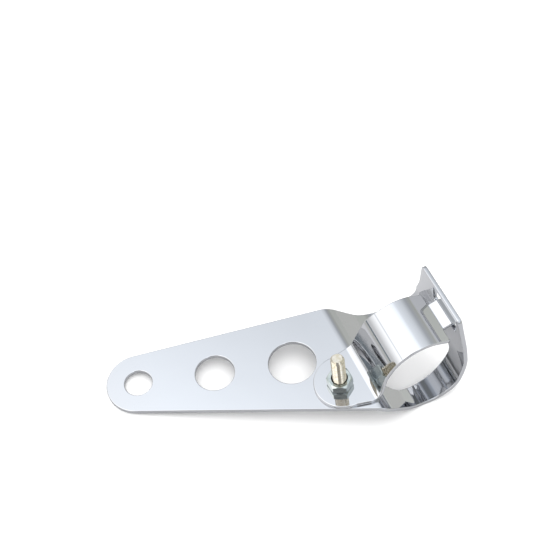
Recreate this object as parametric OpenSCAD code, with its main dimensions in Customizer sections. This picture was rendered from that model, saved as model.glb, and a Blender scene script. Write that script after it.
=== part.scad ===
// Headlight mounting bracket for one leg of a motorcycle fork.
// A stamped ear plate carries the lamp at its tip and wraps half of the fork tube.
// A narrower strap wraps the other half, hooks its tongue into a slot in the plate
// and is drawn down by one screw.
// The origin is the centre of the clamp. Y runs along the fork tube, X points away
// from the lamp hole, and Z points to the side that carries the nut.

/* [Fork clamp] */
// Diameter of the fork tube that the clamp holds
fork_d = 33; // [31:0.5:35]
// Depth of the ear plate's nut face below the middle of the fork tube
face_drop = 2.7; // [2:0.1:4]

/* [Ear plate] */
// Thickness of the plate
plate_t = 2.0; // [1.6:0.1:2.4]
// Distance from the fork tube to the lamp hole, square to the tube
tip_x = 110.3; // [100:0.5:125]
// Distance from the middle of the strap to the lamp hole, along the tube
tip_y = 39.7; // [36:0.5:44]
// Lean of the row of holes from square to the tube
rake = 19.2; // [17:0.1:21]
// Slope of each long edge from the row of holes
taper = 7.7; // [7:0.1:8.4]
// Radius of the rounded tip
tip_r = 13.9; // [12:0.1:16]
// Diameter of the lamp hole at the tip
lamp_hole_d = 12; // [10:0.1:13]
// Diameter of the middle hole
mid_hole_d = 17; // [14:0.1:19]
// Diameter of the largest hole
large_hole_d = 20.5; // [18:0.1:22]
// Radius of the far corner at the bend
peak_r = 6; // [3:0.5:7]
// Radius of the near corner at the bend
knee_r = 9; // [5:0.5:12]
// Distance from the lamp hole to the middle hole
mid_pitch = 33.2; // [31:0.1:35]
// Distance from the middle hole to the largest hole
large_pitch = 33.5; // [31:0.1:34]

/* [Half clamp of the plate] */
// Slope of the wall between the ear and the round of the clamp
wall_slope = 42; // [40:0.5:46]
// Radius on the head side of the bend between ear and wall
ear_bend_r = 3; // [2:0.1:4]
// Far edge where the band leaves the wall
neck_far = 33.1; // [32:0.1:34]
// Near edge where the ear turns into the wall
neck_near = 21.4; // [20.5:0.1:22]
// Far edge at the bottom of the band
band_far = 32.0; // [31:0.1:32.8]
// Near edge at the bottom of the band
band_near = 18.7; // [18:0.1:20]
// Distance of the rise of the band to its upright end from the middle of the tube
rise_x = 11.5; // [10.5:0.1:12]
// Distance of the neck of the band from the middle of the tube
neck_x = 11.5; // [10.5:0.1:12]
// Radius that eases each turn in the long edges of the band
edge_r = 24; // [16:1:26]
// Far edge on the rise of the band to its upright end
rise_far = 29.9; // [29:0.1:30.5]
// Near edge on the rise of the band to its upright end
rise_near = 19.1; // [18.5:0.1:20]
// Far edge where the band stands upright
side_far = 25.8; // [25:0.1:26.5]
// Near edge where the band stands upright
side_near = 17.2; // [16.5:0.1:18]
// Height of the knee in both edges of the upright end
end_knee_h = 8; // [6:0.1:10]
// Far edge at the knee of the upright end
end_knee_far = 22.8; // [22:0.1:24]
// Near edge at the knee of the upright end
end_knee_near = 16.4; // [15.5:0.1:17]
// Far edge at the top of the free end
end_far = 20.1; // [19:0.1:21.5]
// Near edge at the top of the free end
end_near = 11.6; // [11:0.1:13]
// Height of the free end above the middle of the tube
end_h = 23; // [21.5:0.1:25]
// Radius of the free end's corners
end_corner_r = 2; // [1:0.1:2.5]

/* [Window between the arms] */
// Distance of the window's ear end from the middle of the tube
window_start = 18.6; // [17.5:0.1:19]
// Far edge of the window at the bottom of the band
window_far = 12.2; // [11:0.1:13]
// Near edge of the window at the bottom of the band
window_near = 8.5; // [8:0.1:10]
// Sideways run of the far edge per unit of length
window_far_run = 0.22; // [0.15:0.01:0.25]
// Sideways run of the near edge per unit of length
window_near_run = 0.17; // [0.1:0.01:0.2]
// Depth of the window's free end below the middle of the tube
window_end_drop = 3; // [2:0.1:5]
// Corner radius at the window's ear end
window_start_r = 8; // [6:0.1:8.5]
// Corner radius at the window's free end
window_end_r = 4.5; // [3:0.1:6]

/* [Slot for the tongue] */
// Length of the slot along the tube
slot_w = 19.6; // [17:0.1:20]
// Distance from the slot to the top of the free end
slot_bridge = 2.2; // [1.8:0.1:3]
// Clearance between the slot and the tongue's lower face
slot_drop = 0.5; // [0.3:0.1:1.5]
// Radius of the slot's corners
slot_corner_r = 1; // [0.5:0.1:1.5]

/* [Strap] */
// Thickness of the strap
strap_t = 1.8; // [1.4:0.1:2.0]
// Width of the strap round the tube
strap_w = 26; // [24:0.1:27]
// Offset of the strap to the near side
strap_shift = 0.25; // [0:0.05:0.5]
// Slope of the strap's wall from the lug
strap_wall_slope = 57.4; // [54:0.1:62]
// Radius on the upper side of the bend between lug and wall
strap_bend_r = 2; // [1.2:0.1:3]
// Radius of the lug's round end
lug_r = 12.6; // [12:0.1:13]
// Distance of the middle of the lug's round end from the tube
lug_x = 32.4; // [31.5:0.1:33.5]
// Offset of the middle of the lug's round end to the near side
lug_y = 1.4; // [0:0.1:2]
// Near edge of the strap at its crease
crease_near = 16.4; // [15:0.1:17]
// Far edge of the strap at its crease
crease_far = 12.6; // [12:0.1:14]
// Widening of the strap's far edge on its wall
strap_flare = 1.0; // [0.5:0.1:1.2]
// Distance of that widening from the middle of the tube
strap_flare_x = 15; // [14:0.5:17]
// Run of the strap's near edge from its crease to its narrowest place
strap_near_run = 4.9; // [4.5:0.1:6]
// Narrowing of the strap's near edge at that place
strap_waist = 0.6; // [0.2:0.1:1]
// Radius that eases each turn in the strap's long edges
strap_edge_r = 14; // [8:1:16]
// Slope of the strap's flat end
flat_slope = 24.5; // [23:0.1:26]
// Turn at the crease between the round and the flat end
flat_turn = 5; // [3:0.5:5]
// Distance of the shoulders beside the tongue from the middle of the tube
shoulder_x = 12.3; // [11.5:0.1:12.8]
// Width of the tongue
tongue_w = 13.5; // [11:0.1:14.5]
// Rise of the tongue from the shoulders to its ridge
tongue_rise = 1.0; // [0.5:0.1:1.5]
// Fall of the tongue from its ridge to its tip
tongue_fall = 0.9; // [0.5:0.1:1.5]
// Length of the tongue past the outside of the free end
tongue_out = 2; // [0.5:0.1:3]

/* [Screw, washer and nut] */
// Nominal diameter of the screw's thread
screw_d = 6; // [5:0.1:6.4]
// Distance of the screw from the middle of the tube
screw_x = 34.1; // [33.5:0.1:35]
// Offset of the screw to the near side
screw_y = 2.0; // [1.5:0.1:3]
// Length of the screw below its head
screw_len = 26; // [22:0.5:30]
// Bevel at the end of the screw
screw_bevel = 0.8; // [0.5:0.1:1]
// Diameter of the screw's pan head
head_d = 10.2; // [9.5:0.1:11]
// Height of the screw's pan head
head_h = 3.9; // [3.4:0.1:4.4]
// Share of the head's height that is its straight rim
head_rim = 0.45; // [0.3:0.05:0.6]
// Share of the head's radius that is flat on top
head_flat = 0.45; // [0.3:0.05:0.6]
// Width of the slot across the head
drive_slot_w = 1.4; // [1.2:0.1:1.8]
// Depth of the slot and the cross recess
drive_depth = 1.9; // [1.4:0.1:2.2]
// Span of the cross recess
cross_span = 5.6; // [5:0.1:6.2]
// Clearance round the screw in the plate and the strap
hole_clearance = 0.3; // [0.2:0.05:0.5]
// Clearance between the thread's solid core and the nut
thread_clearance = 0.05; // [0.03:0.01:0.1]
// Outer diameter of the spring washer
washer_d = 11; // [10.5:0.1:11.5]
// Thickness of the spring washer
washer_t = 1.6; // [1.4:0.1:1.8]
// Width of the split in the spring washer
washer_split = 0.8; // [0.5:0.1:1.2]
// Turn of the washer's split from square to the fork tube
washer_turn = 35; // [0:5:180]
// Width of the nut across its flats
nut_af = 10; // [9.5:0.1:10.5]
// Height of the nut
nut_h = 5; // [4.5:0.1:5.5]
// Turn of the nut from a corner towards the ear
nut_turn = 34; // [0:1:60]

/* [Hidden] */

// number of facets that stand for a true round
round_fn = 96;
// small overshoot of a cut past the face that it opens
over = 1;
// length that neighbouring stretches of the strap share, so that they are one solid
lap = 0.04;
// how far a flat stretch runs inside the round that it meets, so that the two cross cleanly
ease = 0.01;
// points on each rounded corner of an outline
corner_steps = 8;
// reach of a cut that runs right through the part
far_reach = 80;
// distance along the ear from its far corner to the bend
peak_setback = 1;

chrome = [0.80, 0.82, 0.85];
warm_plating = [0.78, 0.73, 0.62];
blue_zinc = [0.68, 0.72, 0.76];

fork_r = fork_d / 2;
band_r = fork_r + plate_t;
nut_face_z = -face_drop;
head_face_z = nut_face_z - plate_t;
lug_top_z = nut_face_z + strap_t;
strap_r = fork_r + strap_t;

// middle of the bend between ear and wall, below the ear
ear_bend_z = head_face_z - ear_bend_r;
ear_bend_x = -(band_r + ear_bend_r + ear_bend_z * cos(wall_slope)) / sin(wall_slope);
// middle of the bend between lug and strap wall, above the lug
strap_bend_z = lug_top_z + strap_bend_r;
strap_bend_x = -(strap_r + strap_bend_r - strap_bend_z * cos(strap_wall_slope)) / sin(strap_wall_slope);

// row of holes in the ear
tip = [-tip_x, tip_y];
row = [cos(rake), -sin(rake)];
mid_hole = tip + mid_pitch * row;
large_hole = tip + (mid_pitch + large_pitch) * row;
far_dir = taper - rake;
near_dir = -taper - rake;
far_touch = tip + (tip_r - ease) * [-sin(far_dir), cos(far_dir)];
near_touch = tip + (tip_r - ease) * [sin(near_dir), -cos(near_dir)];

// flat end of the strap, which stays just clear of the tube
flat_start = 90 - flat_slope + flat_turn;
flat_from = strap_r * [cos(flat_start), sin(flat_start)];
shoulder = [shoulder_x, flat_from[1] - (shoulder_x - flat_from[0]) * tan(flat_slope)];
flat_normal = [sin(flat_slope), cos(flat_slope)];
tongue_ridge = [fork_r, shoulder[1] + tongue_rise];
tongue_tip = [band_r + tongue_out, tongue_ridge[1] - tongue_fall];

// slot in the free end, round the tongue
slot_top = end_h - slot_bridge;
slot_bottom = tongue_tip[1] - strap_t - slot_drop;

screw_at = [-screw_x, -screw_y];

function unit(v) = v / norm(v);

// points of the arc that rounds the corner at b between a and c with radius r
function corner(a, b, c, r) =
    let (u = unit(a - b), v = unit(c - b),
         half = acos(u * v) / 2,
         middle = b + unit(u + v) * r / sin(half),
         from = b + u * r / tan(half) - middle,
         to = b + v * r / tan(half) - middle,
         turn = cross(from, to) > 0 ? 1 : -1,
         sweep = acos(min(1, from * to / (r * r))))
    [for (i = [0:corner_steps])
        let (t = turn * sweep * i / corner_steps)
        middle + [from[0] * cos(t) - from[1] * sin(t), from[0] * sin(t) + from[1] * cos(t)]];

// outline through corners [x, y, r], each rounded with its own radius, 0 for a sharp one
function outline(p) =
    let (n = len(p), xy = function (i) [p[(i + n) % n][0], p[(i + n) % n][1]])
    [for (i = [0:n - 1])
        each (p[i][2] > 0 ? corner(xy(i - 1), xy(i), xy(i + 1), p[i][2]) : [xy(i)])];

// flat piece of a ring between two angles, a lap longer at each end
module ring_piece(at, inner, outer, from, to) {
    reach = 2 * outer;
    more = lap / inner * 180 / PI;
    translate(at)
        intersection() {
            difference() {
                circle(r = outer, $fn = round_fn);
                circle(r = inner, $fn = round_fn);
            }
            polygon(concat([[0, 0]],
                [for (i = [0:4]) let (a = from - more + (to - from + 2 * more) * i / 4)
                    reach * [cos(a), sin(a)]]));
        }
}

// solid with a section in the XZ plane, from y = from to y = to
module along_fork(from, to) {
    translate([0, to, 0]) rotate([90, 0, 0]) linear_extrude(to - from) children();
}

// solid with an outline in the YZ plane, from x = from to x = to
module across_fork(from, to) {
    translate([from, 0, 0]) rotate([90, 0, 90]) linear_extrude(to - from) children();
}

// everything above the face of the plate that lies a given depth below its nut face:
// the ear, the bend, the wall, the round of the half clamp and the upright end
module above_face(depth, left, top) {
    r = fork_r + depth;
    z = nut_face_z - depth;
    bend = [ear_bend_x, ear_bend_z];
    bend_r = ear_bend_r + plate_t - depth;
    square_to_wall = [sin(wall_slope), cos(wall_slope)];
    difference() {
        union() {
            circle(r = r, $fn = round_fn);
            polygon([[left, z], [ear_bend_x, z], bend, bend + bend_r * square_to_wall,
                     (ease - r) * square_to_wall, [0, 0], [r - ease, 0], [r - ease, top],
                     [left, top]]);
        }
        translate(bend) circle(r = bend_r + ease, $fn = round_fn);
    }
}

// section of the whole plate
module band_section() {
    left = -tip_x - 2 * tip_r;
    difference() {
        above_face(plate_t, left, end_h + over);
        above_face(0, left - over, end_h + 2 * over);
    }
}

// plan of the ear and the band, without its holes
module band_plan() {
    translate(tip) circle(r = tip_r, $fn = round_fn);
    // the edges of the ear run on to the bend
    peak_x = ear_bend_x - peak_setback;
    peak_y = far_touch[1] + (peak_x - far_touch[0]) * tan(far_dir);
    knee_x = near_touch[0] - (neck_near + near_touch[1]) / tan(near_dir);
    polygon(outline([
        [far_touch[0], far_touch[1], 0],
        [peak_x, peak_y, peak_r],
        [-neck_x, neck_far, edge_r],
        [0, band_far, edge_r],
        [rise_x, rise_far, edge_r / 2],
        [fork_r, side_far, 0],
        [band_r + over, side_far, 0],
        [band_r + over, -side_near, 0],
        [fork_r, -side_near, 0],
        [rise_x, -rise_near, edge_r / 2],
        [-neck_x / 3, -band_near, edge_r],
        [knee_x, -neck_near, knee_r],
        [near_touch[0], near_touch[1], 0],
        [tip[0], tip[1], 0]]));
}

// the upright free end with its slot, in the YZ plane
module free_end_outline() {
    difference() {
        polygon(outline([
            [-side_near, 0, 0],
            [side_far, 0, 0],
            [end_knee_far, end_knee_h, edge_r],
            [end_far, end_h, end_corner_r],
            [-end_near, end_h, end_corner_r],
            [-end_knee_near, end_knee_h, edge_r]]));
        polygon(outline([
            [-slot_w / 2, slot_bottom, slot_corner_r],
            [slot_w / 2, slot_bottom, slot_corner_r],
            [slot_w / 2, slot_top, slot_corner_r],
            [-slot_w / 2, slot_top, slot_corner_r]]));
    }
}

// prism that opens the window, with its ear end shaped in plan and its free end from the side
module window_cut() {
    far_at = function (x) window_far + window_far_run * x;
    near_at = function (x) -window_near + window_near_run * x;
    end_x = band_r + over;
    intersection() {
        translate([0, 0, -band_r - over]) linear_extrude(band_r)
            polygon(outline([
                [-window_start, far_at(-window_start), window_start_r],
                [end_x, far_at(end_x), 0],
                [end_x, near_at(end_x), 0],
                [-window_start, near_at(-window_start), window_start_r]]));
        across_fork(-far_reach, far_reach)
            polygon(outline([
                [far_at(fork_r), -band_r - 2 * over, 0],
                [far_at(fork_r), -window_end_drop, window_end_r],
                [near_at(fork_r), -window_end_drop, window_end_r],
                [near_at(-window_start) - over, -band_r - 2 * over, 0]]));
    }
}

// stamped plate: ear, wall, half clamp and free end
module ear_plate() {
    color(chrome)
        difference() {
            intersection() {
                along_fork(-far_reach, far_reach) band_section();
                union() {
                    translate([0, 0, -far_reach]) linear_extrude(far_reach) band_plan();
                    across_fork(fork_r - over, band_r + over) free_end_outline();
                }
            }
            window_cut();
            plate_hole(tip, lamp_hole_d);
            plate_hole(mid_hole, mid_hole_d);
            plate_hole(large_hole, large_hole_d);
            plate_hole(screw_at, screw_d + 2 * hole_clearance);
        }
}

// round hole through the ear
module plate_hole(at, d) {
    translate([at[0], at[1], head_face_z - over])
        cylinder(d = d, h = plate_t + 2 * over, $fn = round_fn);
}

// section of the strap: lug, bend, wall, round and flat end
module strap_section() {
    s = sin(strap_wall_slope);
    c = cos(strap_wall_slope);
    bend = [strap_bend_x, strap_bend_z];
    lug_end = lug_x + lug_r + over;
    // the lug
    translate([-lug_end, nut_face_z]) square([lug_end + strap_bend_x, strap_t]);
    // the bend
    ring_piece(bend, strap_bend_r, strap_bend_r + strap_t, 270, 270 + strap_wall_slope);
    // the wall
    polygon([bend + strap_bend_r * [s, -c], bend + (strap_bend_r + strap_t) * [s, -c],
             fork_r * [-s, c], strap_r * [-s, c]]);
    // the round
    ring_piece([0, 0], fork_r, strap_r, flat_start, 90 + strap_wall_slope);
    // the flat end
    polygon([flat_from, flat_from * fork_r / strap_r, shoulder - strap_t * flat_normal, shoulder]);
}

// section of the tongue beyond the shoulders
module tongue_section() {
    drop = [0, -strap_t];
    polygon([shoulder, shoulder - strap_t * flat_normal, tongue_ridge + drop, tongue_tip + drop,
             tongue_tip, tongue_ridge]);
}

// plan of the strap without the round end of its lug and the tongue
module strap_plan() {
    far = strap_w / 2 - strap_shift;
    near = strap_w / 2 + strap_shift;
    polygon(outline([
        [-lug_x, lug_r - lap - lug_y, 0],
        [strap_bend_x, crease_far, 0],
        [-strap_flare_x, far + strap_flare, strap_edge_r],
        [-strap_flare_x / 2, far, strap_edge_r],
        [shoulder_x + over, far, 0],
        [shoulder_x + over, -near, 0],
        [-strap_flare_x / 2, -near, strap_edge_r],
        [strap_bend_x + strap_near_run, strap_waist - near, strap_edge_r / 3],
        [strap_bend_x, -crease_near, strap_edge_r / 2],
        [-lug_x, lap - lug_r - lug_y, 0]]));
}

// round end of the lug
module lug_end() {
    translate([-lug_x, -lug_y, nut_face_z])
        difference() {
            cylinder(r = lug_r, h = strap_t, $fn = round_fn);
            translate([lap, -lug_r - over, -over]) cube([lug_r + over, 2 * (lug_r + over), strap_t + 2 * over]);
        }
}

// strap: lug under the nut, round over the tube, tongue in the slot
module clamp_strap() {
    color(chrome)
        difference() {
            union() {
                intersection() {
                    along_fork(-far_reach, far_reach) strap_section();
                    translate([0, 0, -far_reach]) linear_extrude(2 * far_reach) strap_plan();
                }
                along_fork(-tongue_w / 2, tongue_w / 2) tongue_section();
                lug_end();
            }
            translate([screw_at[0], screw_at[1], nut_face_z - over])
                cylinder(d = screw_d + 2 * hole_clearance, h = strap_t + 2 * over, $fn = round_fn);
        }
}

// pan head, shank and bevelled end of the screw, with the slot and cross recess in its head
module clamp_screw() {
    seat_z = head_face_z - washer_t;
    head_r = head_d / 2;
    shank_r = screw_d / 2 - thread_clearance;
    rim = head_rim * head_h;
    color(warm_plating)
        translate([screw_at[0], screw_at[1], seat_z])
            difference() {
                union() {
                    cylinder(r = shank_r, h = screw_len - screw_bevel, $fn = round_fn);
                    translate([0, 0, screw_len - screw_bevel])
                        cylinder(r1 = shank_r, r2 = shank_r - screw_bevel, h = screw_bevel, $fn = round_fn);
                    rotate_extrude($fn = round_fn)
                        polygon(concat([[0, 0], [head_r, 0], [head_r, -rim]],
                            [for (a = [15:15:90])
                                [head_r * (head_flat + (1 - head_flat) * cos(a)),
                                 -rim - (head_h - rim) * sin(a)]],
                            [[0, -head_h]]));
                }
                // slot across the head
                translate([-head_d, -drive_slot_w / 2, -head_h - over])
                    cube([2 * head_d, drive_slot_w, drive_depth + over]);
                // cross recess
                translate([-drive_slot_w / 2, -cross_span / 2, -head_h - over])
                    cube([drive_slot_w, cross_span, drive_depth + over]);
            }
}

// split ring under the screw head
module spring_washer() {
    color(warm_plating)
        translate([screw_at[0], screw_at[1], head_face_z - washer_t])
            difference() {
                cylinder(d = washer_d, h = washer_t, $fn = round_fn);
                translate([0, 0, -over])
                    cylinder(d = screw_d + 2 * hole_clearance, h = washer_t + 2 * over, $fn = round_fn);
                rotate(washer_turn) translate([0, -washer_split / 2, -over])
                    cube([washer_d, washer_split, washer_t + 2 * over]);
            }
}

// hexagon nut with both faces bevelled at the corners
module clamp_nut() {
    corner_r = nut_af / 2 / cos(30);
    // the bevelled outline runs past the corners, so that it cuts only the edges
    reach = corner_r + over;
    bevel = (reach - nut_af / 2) * tan(30);
    color(blue_zinc)
        translate([screw_at[0], screw_at[1], lug_top_z])
            difference() {
                intersection() {
                    rotate(nut_turn) cylinder(r = corner_r, h = nut_h, $fn = 6);
                    rotate_extrude($fn = round_fn)
                        polygon([[0, 0], [nut_af / 2, 0], [reach, bevel],
                                 [reach, nut_h - bevel], [nut_af / 2, nut_h], [0, nut_h]]);
                }
                translate([0, 0, -over]) cylinder(d = screw_d, h = nut_h + 2 * over, $fn = round_fn);
            }
}

ear_plate();
clamp_strap();
clamp_screw();
spring_washer();
clamp_nut();
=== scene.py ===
import bisect
import math

import bmesh
import bpy
from mathutils import Matrix, Vector
from mathutils.geometry import tessellate_polygon


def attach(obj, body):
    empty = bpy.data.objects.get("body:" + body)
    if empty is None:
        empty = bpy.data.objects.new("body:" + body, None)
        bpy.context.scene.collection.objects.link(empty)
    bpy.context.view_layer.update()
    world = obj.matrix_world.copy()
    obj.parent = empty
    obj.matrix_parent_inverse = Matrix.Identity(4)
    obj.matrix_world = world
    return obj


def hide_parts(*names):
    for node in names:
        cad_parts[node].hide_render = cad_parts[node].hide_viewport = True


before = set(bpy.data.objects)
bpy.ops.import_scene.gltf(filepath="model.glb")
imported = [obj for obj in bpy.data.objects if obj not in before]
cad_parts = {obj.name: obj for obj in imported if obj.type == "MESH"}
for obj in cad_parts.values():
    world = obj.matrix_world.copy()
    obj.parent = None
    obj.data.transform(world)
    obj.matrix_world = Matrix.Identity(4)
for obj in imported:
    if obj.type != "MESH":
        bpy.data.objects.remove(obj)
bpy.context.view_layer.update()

# Ear plate: one blank stamped from 2 mm steel with its rims tumbled round, folded
# down a wall and half way round the fork tube, then polished and chrome plated.
# It lies under the strap, and the screw draws the two together. Sizes are in mm.
plate_thick = 2.0
plate_rim = 0.35
ear_top = -2.7
bore = 16.5
ear_bend = 9.0
free_end_top = 23.0
tip = Vector((-110.3, 39.7))
tip_radius = 13.88
row = Vector((math.cos(math.radians(19.2)), -math.sin(math.radians(19.2))))
screw_at = Vector((-34.1, -2.0))
ear_holes = ((tip, 12.0), (tip + 33.2 * row, 17.0), (tip + 66.7 * row, 20.5), (screw_at, 6.6))


def round_corner(before, at, after, radius, step=4):
    """Points of the arc that rounds the corner at a point of a line."""
    back, on = (before - at).normalized(), (after - at).normalized()
    half = back.angle(on) / 2
    middle = at + (back + on).normalized() * (radius / math.sin(half))
    start = at + back * (radius / math.tan(half)) - middle
    end = at + on * (radius / math.tan(half)) - middle
    sweep = math.copysign(math.pi - 2 * half, start.cross(end))
    steps = max(2, math.ceil(abs(math.degrees(sweep)) / step))
    return [middle + Matrix.Rotation(sweep * i / steps, 2) @ start for i in range(steps + 1)]


def rounded(corners):
    """Closed outline through corners (x, y, radius), 0 for a sharp corner."""
    places = [Vector(c[:2]) for c in corners]
    line = []
    for i, corner in enumerate(corners):
        if corner[2]:
            line += round_corner(places[i - 1], places[i], places[(i + 1) % len(places)], corner[2])
        else:
            line.append(places[i])
    return line


def circle(middle, diameter, steps=72):
    return [middle + Matrix.Rotation(2 * math.pi * i / steps, 2) @ Vector((diameter / 2, 0))
            for i in range(steps)]


class Fold:
    """The folded line of a sheet in the XZ plane, measured along its upper face."""

    def __init__(self, corners):
        places = [Vector(c[:2]) for c in corners]
        self.points, self.headings = [], []
        for i, at in enumerate(places):
            onward = places[i + 1] - at if i + 1 < len(places) else at - places[i - 1]
            heading = math.atan2(onward.y, onward.x)
            if corners[i][2]:
                arc = round_corner(places[i - 1], at, places[i + 1], corners[i][2], 3)
                old, last = self.headings[-1], len(arc) - 1
                self.points += arc
                self.headings += [old + (heading - old) * k / last for k in range(last + 1)]
            else:
                self.points.append(at)
                self.headings.append(heading)
        self.lengths = [0.0]
        for a, b in zip(self.points, self.points[1:]):
            self.lengths.append(self.lengths[-1] + (b - a).length)

    def at(self, length):
        """Point and heading of the upper face at a length along the line."""
        i = min(max(bisect.bisect_right(self.lengths, length) - 1, 0), len(self.points) - 2)
        share = (length - self.lengths[i]) / (self.lengths[i + 1] - self.lengths[i])
        turn = self.headings[i + 1] - self.headings[i]
        return self.points[i].lerp(self.points[i + 1], share), self.headings[i] + share * turn

    def along(self, axis, value):
        """Length at which the line passes a value on X (axis 0) or Z (axis 1)."""
        run = zip(self.points, self.points[1:], self.lengths, self.lengths[1:])
        for a, b, start, end in run:
            if a[axis] <= value <= b[axis] and b[axis] > a[axis]:
                return start + (end - start) * (value - a[axis]) / (b[axis] - a[axis])
        return self.lengths[-1]

    def plan(self, line):
        """Blank (length, y) of a line drawn from above in x and y, without its last point."""
        blank = []
        for a, b in zip(line, line[1:]):
            start, end = self.along(0, a.x), self.along(0, b.x)
            parts = max(1, math.ceil(max(abs(end - start), abs(b.y - a.y)) / 0.8))
            for i in range(parts):
                length = start + (end - start) * i / parts
                share = i / parts
                if abs(b.x - a.x) > 0.02:
                    share = (self.at(length)[0].x - a.x) / (b.x - a.x)
                blank.append(Vector((length, a.y + share * (b.y - a.y))))
        return blank

    def upright(self, line):
        """Blank of a line drawn on an upright face in y and z, without its last point."""
        return [Vector((self.along(1, z), y)) for y, z in line[:-1]]


def bridge(shape, rings):
    """Faces between each closed ring of points and the next."""
    for a, b in zip(rings, rings[1:]):
        for i in range(len(a)):
            shape.faces.new((a[i - 1], a[i], b[i], b[i - 1]))


def stamp(name, fold, loops, thick, rim):
    """A sheet cut by its loops (length, y) as a flat blank with round rims, then folded."""
    sheet = bmesh.new()
    quarter = [math.radians(a) for a in (90, 60, 30, 0)]
    profile = [(rim * (1 - math.cos(a)), rim * (1 - math.sin(a))) for a in quarter]
    profile += [(inset, thick - depth) for inset, depth in reversed(profile)]
    rims = []
    for number, loop in enumerate(loops):
        area = sum(a.cross(b) for a, b in zip(loop, loop[1:] + loop[:1]))
        sense = math.copysign(1, area) * (-1 if number else 1)
        rings = [[] for _ in profile]
        for i, point in enumerate(loop):
            onward = loop[(i + 1) % len(loop)]
            along = (point - loop[i - 1]).normalized() + (onward - point).normalized()
            out = sense * Vector((along.y, -along.x)).normalized()
            for ring, (inset, depth) in zip(rings, profile):
                ring.append(sheet.verts.new((*(point - out * inset), -depth)))
        bridge(sheet, rings)
        rims.append(rings)
    for side in (0, -1):
        flat = [vert for rings in rims for vert in rings[side]]
        for corners in tessellate_polygon([[vert.co for vert in rings[side]] for rings in rims]):
            sheet.faces.new([flat[i] for i in corners])
    bmesh.ops.recalc_face_normals(sheet, faces=sheet.faces)
    for length in fold.lengths[1:-1]:
        bmesh.ops.bisect_plane(sheet, geom=sheet.verts[:] + sheet.edges[:] + sheet.faces[:],
                               plane_co=(length, 0, 0), plane_no=(1, 0, 0), dist=0.0005)
    sheet.normal_update()
    edge_share = [min(1.0, -vert.co.z / rim, (thick + vert.co.z) / rim) for vert in sheet.verts]
    normals = []
    for vert in sheet.verts:
        length, y, z = vert.co
        on_face = z > -1e-4 or z < 1e-4 - thick
        flat = Vector((0, 0, 1 if z > -1e-4 else -1)) if on_face else vert.normal
        point, heading = fold.at(length)
        on = Vector((math.cos(heading), 0, math.sin(heading)))
        up = Vector((-math.sin(heading), 0, math.cos(heading)))
        normals.append((on * flat.x + Vector((0, flat.y, 0)) + up * flat.z).normalized())
        vert.co = (Vector((point.x, y, point.y)) + up * z) * 0.001
    mesh = bpy.data.meshes.new(name)
    sheet.to_mesh(mesh)
    sheet.free()
    mesh.polygons.foreach_set("use_smooth", [True] * len(mesh.polygons))
    mesh.normals_split_custom_set_from_vertices(normals)
    # how far a point is down on the sheared edge: 0 on both faces, 1 on the edge
    mesh.attributes.new("edge", "FLOAT", "POINT").data.foreach_set("value", edge_share)
    return mesh


def add(name, data):
    """A new object in the scene, from a mesh or a camera."""
    made = bpy.data.objects.new(name, data)
    bpy.context.collection.objects.link(made)
    return made


def place(name, mesh, node, finish):
    """Puts a finished mesh in the scene in place of its CAD solid."""
    made = add(name, mesh)
    mesh.materials.append(finish)
    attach(made, "root")
    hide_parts(node)


class Wire:
    """A socket of a shader. Arithmetic on it adds the Math nodes that do it."""

    def __init__(self, tree, socket=None):
        self.tree, self.socket = tree, socket

    def node(self, kind, settings, values, output=0):
        """The output of a new node that has these settings and these values or links."""
        made = self.tree.nodes.new(kind)
        for key, value in settings.items():
            if key == "stops":
                stops = made.color_ramp.elements
                while len(stops) < len(value):
                    stops.new(1)
                for stop, (position, colour) in zip(stops, value):
                    stop.position, stop.color = position, (*colour, 1)
            else:
                setattr(made, key, value)
        for key, value in values.items():
            if isinstance(value, Wire):
                self.tree.links.new(value.socket, made.inputs[key])
            else:
                made.inputs[key].default_value = value
        return Wire(self.tree, made.outputs[output])

    def maths(self, operation, a, b):
        return self.node("ShaderNodeMath", {"operation": operation}, {0: a, 1: b})

    def __add__(self, other):
        return self.maths("ADD", self, other)

    def __sub__(self, other):
        return self.maths("SUBTRACT", self, other)

    def __rsub__(self, other):
        return self.maths("SUBTRACT", other, self)

    def __mul__(self, other):
        return self.maths("MULTIPLY", self, other)

    def __truediv__(self, other):
        return self.maths("DIVIDE", self, other)

    __radd__, __rmul__ = __add__, __mul__

    def ease(self, low, high):
        """0 below low, 1 above high, and a smooth change between them."""
        return self.node("ShaderNodeMapRange", {"interpolation_type": "SMOOTHSTEP"},
                         {"Value": self, "From Min": low, "From Max": high})

    def blend(self, a, b):
        """Colour a where this is 0 and colour b where it is 1."""
        return self.node("ShaderNodeMix", {"data_type": "RGBA"}, {"Factor": self, 6: a, 7: b}, 2)

    def noise(self, scale, detail):
        values = {"Vector": self, "Scale": scale, "Detail": detail}
        return self.node("ShaderNodeTexNoise", {}, values)

    def stretch(self, x, y, z):
        values = {0: self, 1: (x, y, z)}
        return self.node("ShaderNodeVectorMath", {"operation": "MULTIPLY"}, values)


def metal(name):
    """A bare metal finish: its material, its shader and the place on the object in metres."""
    made = bpy.data.materials.new(name)
    made.use_nodes = True
    shader = made.node_tree.nodes["Principled BSDF"]
    shader.inputs["Metallic"].default_value = 1.0
    return made, shader, Wire(made.node_tree).node("ShaderNodeTexCoord", {}, {}, "Object")


def feed(shader, slot, wire):
    wire.tree.links.new(wire.socket, shader.inputs[slot])


def bump(wire, depth):
    return wire.node("ShaderNodeBump", {}, {"Height": wire, "Distance": depth})


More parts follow.
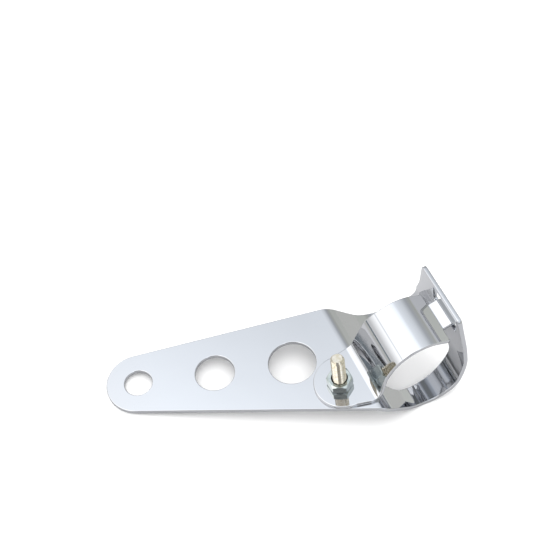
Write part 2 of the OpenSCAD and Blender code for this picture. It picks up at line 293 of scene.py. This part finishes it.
def chrome_plate(name):
    """Bright chrome with a faint swell left by polishing, hairlines and a few hazy clouds."""
    made, shader, spot = metal(name)
    edge = spot.node("ShaderNodeAttribute", {"attribute_name": "edge"}, {}, "Fac")
    haze = spot.noise(160, 4).ease(0.45, 0.75)
    hairlines = spot.stretch(1, 9, 1).noise(900, 2)
    feed(shader, "Roughness", haze * 0.035 + hairlines * 0.02 + edge * 0.10 + 0.015)
    # the sheared rims are a little darker: partly coarser metal under thinner plating, partly
    # painted shade for the dark lines along the rims
    feed(shader, "Base Color", edge.blend((0.58, 0.59, 0.61, 1), (0.52, 0.53, 0.55, 1)))
    feed(shader, "Normal", bump(spot.noise(60, 1) + hairlines * 0.004, 0.00002))
    return made


# ear, wall at 42 degrees, round of the fork tube and upright free end
plate_fold = Fold([(-130, ear_top, 0), (-21.66, ear_top, ear_bend), (bore, -37.06, bore),
                   (bore, free_end_top, 0)])
# the rim runs round the tip, along the near edge, up and round the free end, and back
# along the far edge, and both edges draw in where the sheet is bent
tip_line = [tip + Matrix.Rotation(math.radians(a), 2) @ Vector((tip_radius, 0))
            for a in range(80, 242, 3)]
band_edge = bore - 0.002
near_line = rounded([(-116.59, 27.30, 0), (-20.6, -21.4, 9), (-3.83, -18.7, 24),
                     (11.5, -19.1, 12), (band_edge, -17.2, 0)])
end_line = rounded([(-17.2, 0, 0), (-16.4, 8, 24), (-11.6, free_end_top, 2),
                    (20.1, free_end_top, 2), (22.8, 8, 24), (25.8, 0, 0)])
far_line = rounded([(band_edge, 25.8, 0), (11.5, 29.9, 12), (0, 32.0, 24), (-11.5, 33.1, 24),
                    (-24.58, 36.44, 6), (-107.53, 53.32, 0)])
rim_line = plate_fold.plan(tip_line + near_line) + plate_fold.upright(end_line)
rim_line += plate_fold.plan(far_line + tip_line[:1])
# the window between the two arms starts on the wall and ends on the upright
window_foot, window_turn = -18.6, 14.7
far_foot, far_turn = (12.2 + 0.22 * x for x in (window_foot, window_turn))
near_foot, near_turn = (-8.5 + 0.17 * x for x in (window_foot, window_turn))
window_line = plate_fold.plan(rounded([(window_turn, near_turn, 0), (window_foot, near_foot, 8),
                                       (window_foot, far_foot, 8), (window_turn, far_turn, 0)]))
window_line += plate_fold.upright(rounded([(far_turn, -7.5, 0), (15.83, -3, 4.2),
                                           (-5.69, -3, 4.4), (near_turn, -7.5, 0)]))
slot_line = rounded([(-9.8, 12.23, 1), (9.8, 12.23, 1), (9.8, 20.8, 1), (-9.8, 20.8, 1)])
plate_loops = [rim_line, window_line, plate_fold.upright(slot_line + slot_line[:1])]
for middle, diameter in ear_holes:
    round_line = circle(middle, diameter)
    plate_loops.append(plate_fold.plan(round_line + round_line[:1]))
plate_mesh = stamp("ear plate", plate_fold, plate_loops, plate_thick, plate_rim)
place("ear_plate_skin", plate_mesh, "ear_plate", chrome_plate("plate chrome"))

# Clamp strap: a lighter strip, folded up from a round lug, bent half way round the tube
# and creased to a flat end, whose narrow tongue hooks into the slot of the plate. Chrome
# plated like the plate, and pressed down by the nut on the lug.
strap_thick, strap_rim = 1.8, 0.42
lug = Vector((-32.4, -1.4))
lug_radius = 12.6
lug_top = -0.9
# lug, wall, round of the tube, crease, shoulder, ridge and end of the tongue
strap_fold = Fold([(-46, lug_top, 0), (-22.30, lug_top, 4.0), (-7.590, 22.10, 18.3),
                   (6.25, 17.20, 2.5), (12.3, 14.43, 1.2), (16.5, 15.43, 1.5), (20.5, 14.53, 0)])
lug_line = [lug + Matrix.Rotation(math.radians(a), 2) @ Vector((lug_radius, 0))
            for a in range(90, 271, 4)]
strap_line = rounded([(*point, 0) for point in lug_line]
                     + [(-23.39, -16.4, 7), (-18.49, -12.65, 4.67), (-7.5, -13.25, 14),
                        (12.3, -13.25, 0.5), (12.3, -6.75, 0.5), (20.45, -6.75, 0.6),
                        (20.45, 6.75, 0.6), (12.3, 6.75, 0.5), (12.3, 12.75, 0.5),
                        (-7.5, 12.75, 14), (-15, 13.75, 14), (-23.39, 12.6, 1)])
lug_hole = circle(screw_at, 6.6)
strap_loops = [strap_fold.plan(line + line[:1]) for line in (strap_line, lug_hole)]
strap_mesh = stamp("clamp strap", strap_fold, strap_loops, strap_thick, strap_rim)
place("clamp_strap_skin", strap_mesh, "clamp_strap", chrome_plate("strap chrome"))

# Clamp screw: a plated M6 steel screw with a pan head that has a slot and a cross, pushed
# up through the washer, the plate and the strap. Its rolled thread stands out of the nut.
screw_seat = -6.3
screw_length = 26.0
thread_crest, thread_root, thread_pitch = 2.98, 2.45, 1.0
head_radius, head_high = 5.1, 3.9


def turned(shape, line, steps):
    """Adds the surface that a closed half section (radius, z) makes when it is turned."""
    rings = []
    for i in range(steps):
        turn = Matrix.Rotation(2 * math.pi * i / steps, 3, "Z")
        rings.append([shape.verts.new(turn @ Vector((r, 0, z))) for r, z in line])
    for a, b in zip(rings, rings[1:] + rings[:1]):
        for k in range(len(line) - 1):
            shape.faces.new((a[k], b[k], b[k + 1], a[k + 1]))
    for end in (0, -1):
        shape.faces.new([ring[end] for ring in rings])


def solid(name, shape, at, low, angle=35):
    """Mesh in metres from a shape in mm round its own axis, moved to its place."""
    bmesh.ops.remove_doubles(shape, verts=shape.verts, dist=1e-4)
    bmesh.ops.recalc_face_normals(shape, faces=shape.faces)
    to_place = Matrix.Scale(0.001, 4) @ Matrix.Translation((*at, low))
    bmesh.ops.transform(shape, matrix=to_place, verts=shape.verts)
    mesh = bpy.data.meshes.new(name)
    shape.to_mesh(mesh)
    shape.free()
    mesh.polygons.foreach_set("use_smooth", [True] * len(mesh.polygons))
    mesh.set_sharp_from_angle(angle=math.radians(angle))
    return mesh


def block(shape, x, y, low, high):
    """Adds a block round the shape's axis, from one height to another."""
    made = bmesh.ops.create_cube(shape, size=1)["verts"]
    bmesh.ops.transform(shape, verts=made, matrix=Matrix.Translation((0, 0, (low + high) / 2))
                        @ Matrix.Diagonal((x, y, high - low, 1)))


# the head hangs from its seat, with a slot cut through its flat top and a short cross
drive_deep, slot_long, slot_wide, cross_long = 1.9, 12, 1.4, 5.6
head = bmesh.new()
head_line = [(0.4, 0), (head_radius - 0.2, 0), (head_radius, -0.2),
             (head_radius, -0.45 * head_high)]
head_line += [(head_radius * (0.45 + 0.55 * math.cos(math.radians(a))),
               -head_high * (0.45 + 0.55 * math.sin(math.radians(a)))) for a in range(10, 91, 10)]
turned(head, head_line + [(0.4, -head_high)], 72)
head_mesh = solid("screw head", head, screw_at, screw_seat)
drive = bmesh.new()
block(drive, slot_long, slot_wide, -head_high - 1, drive_deep - head_high)
block(drive, slot_wide, cross_long, -head_high - 1, drive_deep - head_high)
drive_mesh = solid("screw drive", drive, screw_at, screw_seat)
head_piece = add("head blank", head_mesh)
drive_piece = add("drive cutter", drive_mesh)
cut = head_piece.modifiers.new("drive", "BOOLEAN")
cut.object, cut.operation = drive_piece, "DIFFERENCE"
cut.solver, cut.use_self = "EXACT", True
graph = bpy.context.evaluated_depsgraph_get()
cut_head = bpy.data.meshes.new_from_object(head_piece.evaluated_get(graph))
for made in (head_piece, drive_piece):
    bpy.data.objects.remove(made)

# the thread climbs one pitch a turn, with flat crests and roots, and ends in a bevel
thread = bmesh.new()
rows, around, bevel = 260, 48, 0.9
rings = []
for k in range(rows + 1):
    z = screw_length * k / rows
    ring = []
    for i in range(around):
        phase = (z / thread_pitch - i / around) % 1
        flank = min(1, max(0, abs(phase - 0.5) * 2.6 - 0.15))
        radius = thread_crest - (thread_crest - thread_root) * flank
        radius = min(radius, thread_crest - max(0, z - screw_length + bevel))
        angle = 2 * math.pi * i / around
        ring.append(thread.verts.new((radius * math.cos(angle), radius * math.sin(angle), z)))
    rings.append(ring)
bridge(thread, rings)
thread.faces.new(rings[0])
thread.faces.new(rings[-1])
thread_mesh = solid("screw thread", thread, screw_at, screw_seat, 40)
screw = bmesh.new()
screw.from_mesh(thread_mesh)
screw.from_mesh(cut_head)
screw_mesh = bpy.data.meshes.new("clamp screw")
screw.to_mesh(screw_mesh)
screw.free()
screw_metal, shader, spot = metal("screw plating")
tarnish = spot.noise(700, 3)
warm = tarnish.ease(0.3, 0.75).blend((0.71, 0.67, 0.59, 1), (0.58, 0.52, 0.39, 1))
feed(shader, "Base Color", warm)
feed(shader, "Roughness", tarnish * 0.10 + 0.06)
feed(shader, "Normal", bump(spot.stretch(1, 1, 6).noise(1500, 2), 0.000004))
place("clamp_screw_skin", screw_mesh, "clamp_screw", screw_metal)

# Spring washer: a split ring of square spring steel wire under the screw head, pressed
# flat by the screw, with the same warm plating.
ring_in, ring_out, ring_high = 3.3, 5.5, 1.6
split = math.radians(35)
gap = 0.8 / ring_out
washer = bmesh.new()
wire_line = rounded([(ring_in, 0, 0.25), (ring_out, 0, 0.25), (ring_out, ring_high, 0.25),
                     (ring_in, ring_high, 0.25)])
turns = 80
rings = []
for i in range(turns + 1):
    turn = Matrix.Rotation(split + gap / 2 + (2 * math.pi - gap) * i / turns, 3, "Z")
    rings.append([washer.verts.new(turn @ Vector((p.x, 0, p.y))) for p in wire_line])
bridge(washer, rings)
washer.faces.new(rings[0])
washer.faces.new(rings[-1])
washer_metal, shader, spot = metal("washer plating")
shader.inputs["Base Color"].default_value = (0.60, 0.57, 0.49, 1)
feed(shader, "Roughness", spot.noise(900, 3) * 0.25 + 0.15)
feed(shader, "Normal", bump(spot.noise(1800, 2), 0.00001))
washer_mesh = solid("spring washer", washer, screw_at, screw_seat)
place("spring_washer_skin", washer_mesh, "spring_washer", washer_metal)

# Clamp nut: a cold formed M6 hexagon nut with bluish zinc, 10 mm across its flats. Both
# faces are turned round at the corners and the thread is countersunk at its mouths.
nut_flat, nut_high = 5.0, 5.0
nut_turn = math.radians(34)
nut_bore, lower_mouth, upper_mouth = 3.0, 3.45, 3.6
face = 0.94 * nut_flat
corner = nut_flat / math.cos(math.pi / 6) - 0.08
nut = bmesh.new()
rings = []
for i in range(96):
    angle = 2 * math.pi * i / 96
    side = nut_flat / math.cos(angle % (math.pi / 3) - math.pi / 6)
    side = min(side, corner)
    drop = max(0.08, (side - face) * math.tan(math.radians(30)))
    line = [(nut_bore, 0.5), (lower_mouth, 0), (face, 0), ((face + side) / 2, drop),
            (side, drop * 2.4), (side, nut_high - drop),
            ((face + side) / 2, nut_high - drop * 0.42), (face, nut_high),
            (upper_mouth, nut_high), (3.3, nut_high - 1.4), (nut_bore, nut_high - 1.9)]
    turn = Matrix.Rotation(angle + nut_turn, 3, "Z")
    rings.append([nut.verts.new(turn @ Vector((r, 0, z))) for r, z in line])
bridge(nut, rings + rings[:1])
nut_metal, shader, spot = metal("nut zinc")
clouds = spot.noise(500, 3)
off_axis = spot.node("ShaderNodeVectorMath", {"operation": "DISTANCE"},
                     {0: spot.stretch(1, 1, 0), 1: (*(screw_at * 0.001), 0)}, "Value")
zinc = clouds.ease(0.3, 0.7).blend((0.38, 0.43, 0.42, 1), (0.52, 0.56, 0.54, 1))
# painted shade: the mouth of the thread is coloured near black, for the shadow inside it
clear_of_mouth_shade = off_axis.ease(0.0034, 0.0036)
feed(shader, "Base Color", clear_of_mouth_shade.blend((0.05, 0.05, 0.04, 1), zinc))
feed(shader, "Roughness", clouds * 0.14 + 0.05)
feed(shader, "Normal", bump(spot.noise(1500, 2), 0.00001))
nut_mesh = solid("clamp nut", nut, screw_at, lug_top, 25)
place("clamp_nut_skin", nut_mesh, "clamp_nut", nut_metal)

# White table that the bracket lies on. It touches the lowest line of the band and the
# ear's tip, so it leans a little against the part's own axes.
band_low, tip_low, tip_reach, air = 0.0185, 0.0047, 0.1242, 0.0001
lean = math.asin((band_low - tip_low) / tip_reach)
square = Vector((math.sin(lean), 0, math.cos(lean)))
table_mesh = bpy.data.meshes.new("table")
table_mesh.from_pydata([(-3, -3, 0), (3, -3, 0), (3, 3, 0), (-3, 3, 0)], [], [(0, 1, 2, 3)])
table = add("table", table_mesh)
table.matrix_world = (Matrix.Translation(square * -(band_low + air))
                      @ square.to_track_quat("Z", "Y").to_matrix().to_4x4())
white = bpy.data.materials.new("white table")
white.use_nodes = True
shader = white.node_tree.nodes["Principled BSDF"]
shader.inputs["Roughness"].default_value = 0.9
shader.inputs["Specular IOR Level"].default_value = 0.0
seen = Wire(white.node_tree).node("ShaderNodeLightPath", {}, {}, "Is Camera Ray")
spot = seen.node("ShaderNodeTexCoord", {}, {}, "Object")
away = spot.node("ShaderNodeVectorMath", {"operation": "LENGTH"}, {0: spot}, "Value")
paper = away.ease(0.12, 0.35).blend((0.57, 0.57, 0.58, 1), (0.43, 0.43, 0.41, 1))
feed(shader, "Base Color", seen.blend(paper, (0.92, 0.92, 0.92, 1)))
feed(shader, "Emission Color", seen.blend((0, 0, 0, 1), (0.03, 0.03, 0.03, 1)))
shader.inputs["Emission Strength"].default_value = 1.0
table_mesh.materials.append(white)

# Painted shade: a dark card held up well past the ear's tip, out of the picture and unseen by the
# camera, standing in for the shaded underside of a second bracket nearby and the shadow between the
# two.
# The foot of the strap's wall shows it as a dark patch.
card_mesh = bpy.data.meshes.new("shade card")
across = Vector((0.485, 0.875, 0)) * 0.034
foot, head = Vector((-0.239, 0.124, 0.0325)), Vector((-0.239, 0.124, 0.050))
corners = [foot - across, foot + across, head + across, head - across]
card_mesh.from_pydata(corners, [], [(0, 1, 2, 3)])
card = add("shade card", card_mesh)
shade_card_finish = bpy.data.materials.new("shade card")
shade_card_finish.use_nodes = True
shader = shade_card_finish.node_tree.nodes["Principled BSDF"]
shader.inputs["Base Color"].default_value = (0.30, 0.34, 0.37, 1)
shader.inputs["Roughness"].default_value = 1.0
card_mesh.materials.append(shade_card_finish)
card.visible_camera = False

# Studio: a white tent, brightest overhead to the left and grey towards the right, as the
# chrome shows it. It is dimmer towards the far side and has a dark gap behind the camera.
world = bpy.data.worlds.new("studio")
bpy.context.scene.world = world
world.use_nodes = True
sky = world.node_tree.nodes["Background"]
toward = Wire(world.node_tree).node("ShaderNodeTexCoord", {}, {}, "Generated")
x, y, z = (toward.node("ShaderNodeSeparateXYZ", {}, {"Vector": toward}, k) for k in range(3))
seen = toward.node("ShaderNodeLightPath", {}, {}, "Is Camera Ray")
lighting = toward.node("ShaderNodeLightPath", {}, {}, "Is Diffuse Ray")
# the tent's panels: angle from overhead towards the right, share of full light, and tint
white, cool, warm = (1, 1, 1), (0.96, 1, 1.05), (0.98, 1, 0.94)
left_wall = ((-90, 0.50, white), (-74, 0.50, white))
roof_seam = ((-53, 1.0, white), (-50.5, 0.60, cool), (-48, 1.0, white))
roof = ((-5, 1.0, white), (4, 0.92, cool))
slope = ((11, 0.70, cool), (27, 0.56, cool))
right_wall = ((40, 0.33, cool), (53, 0.33, warm))
right_foot = ((62, 0.40, warm), (90, 0.40, warm))
panels = left_wall + roof_seam + roof + slope + right_wall + right_foot
# what the chrome mirrors of the light
chrome_share = 0.585
bearing = x.maths("ARCTAN2", x, z) / (2 * math.pi) + 0.5
stops = [(angle / 360 + 0.5, [share * part / 2 for part in tint])
         for angle, share, tint in panels]
tent = bearing.node("ShaderNodeValToRGB", {"stops": stops}, {"Fac": bearing})
fall = (y - 0.50) * -2.5 + 1
fall = fall.maths("MINIMUM", fall.maths("MAXIMUM", fall, 0.75), 1.2)
# the gap, wide at the horizon and narrow overhead
camera_way = (-0.438, -0.899)
aside = x * -camera_way[1] + y * camera_way[0]
aside = aside.maths("ABSOLUTE", aside, 0) * (z * 0.75 + 0.45)
gap = (1 - aside.ease(0.20, 0.36)) * (x * camera_way[0] + y * camera_way[1]).ease(0.36, 0.44)
strength = fall * (2 / chrome_share) * (1 - gap * 0.8)
# the table is lit by even white light, mostly from overhead, and the camera sees white
overhead = z * z * 3.9 + 1.4
strength = lighting * (overhead - strength) + strength
feed(sky, "Color", (seen + lighting).blend(tent, (0.5, 0.5, 0.5, 1)))
feed(sky, "Strength", seen * (2.0 - strength) + strength)

# Camera: a long lens above the near side of the ear, in the photograph's place. Its place
# and lens were solved from the holes and edges of the part.
right = Vector((0.905373, -0.412913, -0.099008))
up = Vector((0.392946, 0.726385, 0.563878))
camera = add("camera", bpy.data.cameras.new("camera"))
turn = Matrix((right, up, right.cross(up))).transposed().to_4x4()
camera.matrix_world = Matrix.Translation((-0.141154, -0.289299, 0.531223)) @ turn
camera.data.lens = 98.054
camera.data.sensor_width = 36
camera.data.clip_start = 0.01
bpy.context.scene.camera = camera
bpy.context.scene.view_settings.view_transform = "Standard"
